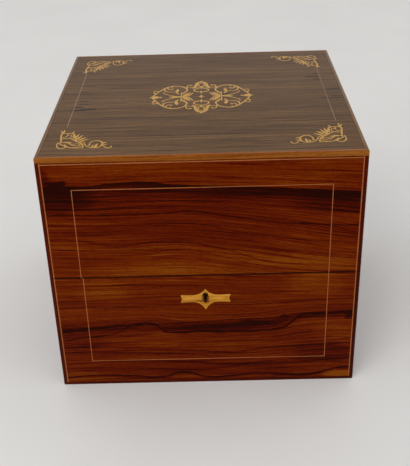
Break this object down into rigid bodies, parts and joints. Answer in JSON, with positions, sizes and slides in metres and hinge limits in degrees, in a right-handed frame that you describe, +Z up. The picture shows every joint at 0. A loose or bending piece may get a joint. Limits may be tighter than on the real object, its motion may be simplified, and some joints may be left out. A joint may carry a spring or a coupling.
{
  "type": "liqueur case",
  "caption": "Square wooden case with a deep hinged lid, inlaid scrollwork and a lock, fitted with a lift-out rack of stoppered decanters and small stemmed glasses.",
  "frame": {"origin": "middle of the case's underside, on the surface that it stands on", "axes": "+X to the right, +Y from the front with the keyhole to the hinges at the back, +Z up"},
  "size_m": [0.3, 0.297, 0.2575],
  "materials": {
    "rosewood": "French polished, dark streaks",
    "light_rosewood": "polished, straight grain",
    "boxwood": "polished inlay",
    "rack_mahogany": "thin polish",
    "brass": "aged, wiped",
    "steel": "oiled",
    "crystal": "clear, cut"
  },
  "bodies": {
    "base": {"base_front": "rosewood", "base_back": "rosewood", "base_left": "rosewood", "base_right": "rosewood", "base_bottom": "rosewood", "base_edging": "light_rosewood", "escutcheon": "boxwood", "lock_plate": "brass", "lock_cap": "brass", "lock_spring": "steel", "hinge_base_leaf_left": "brass", "hinge_base_leaf_right": "brass"},
    "lid": {"lid_front": "rosewood", "lid_back": "rosewood", "lid_left": "rosewood", "lid_right": "rosewood", "lid_top": "rosewood", "lid_edging": "light_rosewood", "medallion": "boxwood", "corner_spray_front_left": "boxwood", "corner_spray_front_right": "boxwood", "corner_spray_back_left": "boxwood", "corner_spray_back_right": "boxwood", "link_plate": "brass", "staple_left": "brass", "staple_right": "brass", "hinge_lid_leaf_left": "brass", "hinge_lid_leaf_right": "brass"},
    "bolt": {"lock_bolt": "steel"},
    "rack": {"rack_floor": "rack_mahogany", "rack_shelf": "rack_mahogany", "rack_post_front_left": "rack_mahogany", "rack_post_front_right": "rack_mahogany", "rack_post_back_left": "rack_mahogany", "rack_post_back_right": "rack_mahogany", "rack_handle": "brass"},
    "decanter_1": {"decanter_1": "crystal"},
    "decanter_2": {"decanter_2": "crystal"},
    "decanter_3": {"decanter_3": "crystal"},
    "decanter_4": {"decanter_4": "crystal"},
    "stopper_1": {"stopper_1": "crystal"},
    "stopper_2": {"stopper_2": "crystal"},
    "stopper_3": {"stopper_3": "crystal"},
    "stopper_4": {"stopper_4": "crystal"},
    "glass_01": {"glass_01": "crystal"},
    "glass_02": {"glass_02": "crystal"},
    "glass_03": {"glass_03": "crystal"},
    "glass_04": {"glass_04": "crystal"},
    "glass_05": {"glass_05": "crystal"},
    "glass_06": {"glass_06": "crystal"},
    "glass_07": {"glass_07": "crystal"},
    "glass_08": {"glass_08": "crystal"},
    "glass_09": {"glass_09": "crystal"},
    "glass_10": {"glass_10": "crystal"},
    "glass_11": {"glass_11": "crystal"},
    "glass_12": {"glass_12": "crystal"},
    "glass_13": {"glass_13": "crystal"},
    "glass_14": {"glass_14": "crystal"},
    "glass_15": {"glass_15": "crystal"},
    "glass_16": {"glass_16": "crystal"}
  },
  "joints": [
    {"name": "lid_hinge", "type": "hinge", "parent": "base", "child": "lid", "pos_m": [0, 0.1453, 0.1307], "axis": [-1, 0, 0], "range_deg": [0, 95]},
    {"name": "bolt_slide", "type": "slide", "parent": "base", "child": "bolt", "axis": [1, 0, 0], "range_m": [0, 0.0065]},
    {"name": "rack_lift", "type": "slide", "parent": "base", "child": "rack", "axis": [0, 0, 1], "range_m": [0, 0.025]},
    {"name": "decanter_1_lift", "type": "slide", "parent": "rack", "child": "decanter_1", "axis": [0, 0, 1], "range_m": [0, 0.025]},
    {"name": "decanter_2_lift", "type": "slide", "parent": "rack", "child": "decanter_2", "axis": [0, 0, 1], "range_m": [0, 0.025]},
    {"name": "decanter_3_lift", "type": "slide", "parent": "rack", "child": "decanter_3", "axis": [0, 0, 1], "range_m": [0, 0.025]},
    {"name": "decanter_4_lift", "type": "slide", "parent": "rack", "child": "decanter_4", "axis": [0, 0, 1], "range_m": [0, 0.025]},
    {"name": "stopper_1_lift", "type": "slide", "parent": "decanter_1", "child": "stopper_1", "axis": [0, 0, 1], "range_m": [0, 0.02]},
    {"name": "stopper_2_lift", "type": "slide", "parent": "decanter_2", "child": "stopper_2", "axis": [0, 0, 1], "range_m": [0, 0.02]},
    {"name": "stopper_3_lift", "type": "slide", "parent": "decanter_3", "child": "stopper_3", "axis": [0, 0, 1], "range_m": [0, 0.02]},
    {"name": "stopper_4_lift", "type": "slide", "parent": "decanter_4", "child": "stopper_4", "axis": [0, 0, 1], "range_m": [0, 0.02]},
    {"name": "glass_01_lift", "type": "slide", "parent": "rack", "child": "glass_01", "axis": [0, 0, 1], "range_m": [0, 0.066]},
    {"name": "glass_02_lift", "type": "slide", "parent": "rack", "child": "glass_02", "axis": [0, 0, 1], "range_m": [0, 0.066]},
    {"name": "glass_03_lift", "type": "slide", "parent": "rack", "child": "glass_03", "axis": [0, 0, 1], "range_m": [0, 0.066]},
    {"name": "glass_04_lift", "type": "slide", "parent": "rack", "child": "glass_04", "axis": [0, 0, 1], "range_m": [0, 0.066]},
    {"name": "glass_05_lift", "type": "slide", "parent": "rack", "child": "glass_05", "axis": [0, 0, 1], "range_m": [0, 0.066]},
    {"name": "glass_06_lift", "type": "slide", "parent": "rack", "child": "glass_06", "axis": [0, 0, 1], "range_m": [0, 0.066]},
    {"name": "glass_07_lift", "type": "slide", "parent": "rack", "child": "glass_07", "axis": [0, 0, 1], "range_m": [0, 0.066]},
    {"name": "glass_08_lift", "type": "slide", "parent": "rack", "child": "glass_08", "axis": [0, 0, 1], "range_m": [0, 0.066]},
    {"name": "glass_09_lift", "type": "slide", "parent": "rack", "child": "glass_09", "axis": [0, 0, 1], "range_m": [0, 0.066]},
    {"name": "glass_10_lift", "type": "slide", "parent": "rack", "child": "glass_10", "axis": [0, 0, 1], "range_m": [0, 0.066]},
    {"name": "glass_11_lift", "type": "slide", "parent": "rack", "child": "glass_11", "axis": [0, 0, 1], "range_m": [0, 0.066]},
    {"name": "glass_12_lift", "type": "slide", "parent": "rack", "child": "glass_12", "axis": [0, 0, 1], "range_m": [0, 0.066]},
    {"name": "glass_13_lift", "type": "slide", "parent": "rack", "child": "glass_13", "axis": [0, 0, 1], "range_m": [0, 0.066]},
    {"name": "glass_14_lift", "type": "slide", "parent": "rack", "child": "glass_14", "axis": [0, 0, 1], "range_m": [0, 0.066]},
    {"name": "glass_15_lift", "type": "slide", "parent": "rack", "child": "glass_15", "axis": [0, 0, 1], "range_m": [0, 0.066]},
    {"name": "glass_16_lift", "type": "slide", "parent": "rack", "child": "glass_16", "axis": [0, 0, 1], "range_m": [0, 0.066]}
  ]
}
